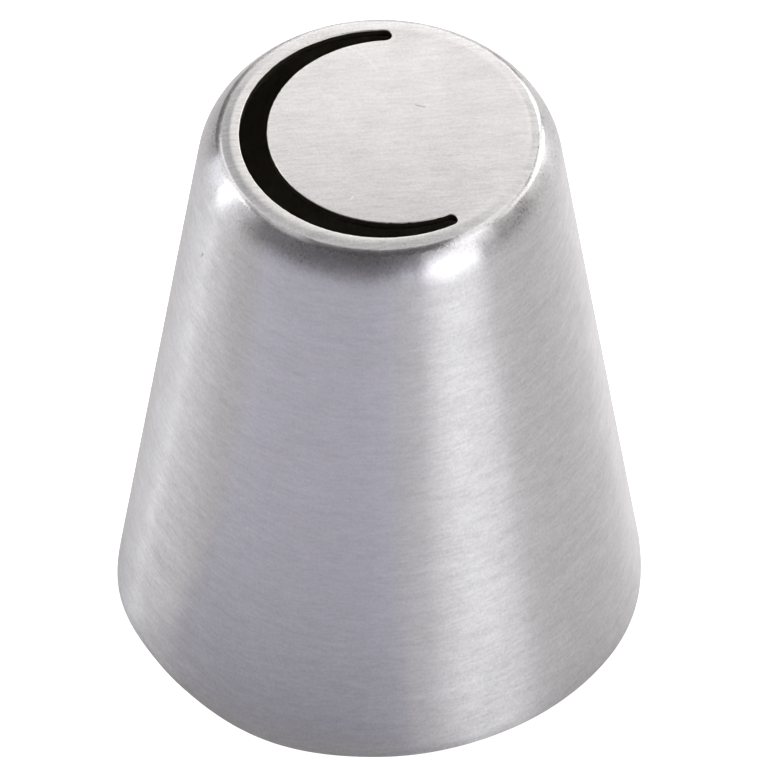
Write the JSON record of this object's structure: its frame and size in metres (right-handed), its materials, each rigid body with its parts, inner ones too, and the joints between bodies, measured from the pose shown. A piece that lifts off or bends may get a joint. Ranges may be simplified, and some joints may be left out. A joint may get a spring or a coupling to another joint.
{
  "type": "piping nozzle",
  "caption": "Seamless conical piping nozzle of brushed stainless steel, open at its wide end, with a crescent slot through the flat closed tip.",
  "frame": {"origin": "centre of the open wide end, on the plane of its rim", "axes": "+Z along the nozzle's axis from the open end to the tip face; -X towards the middle of the crescent slot; the nozzle is the same on both sides of the XZ plane"},
  "size_m": [0.034, 0.034, 0.0396],
  "materials": {
    "stainless_steel": "satin, brushed round the cone and straight across the tip face"
  },
  "bodies": {
    "root": {"nozzle_shell": "stainless_steel"}
  },
  "joints": []
}
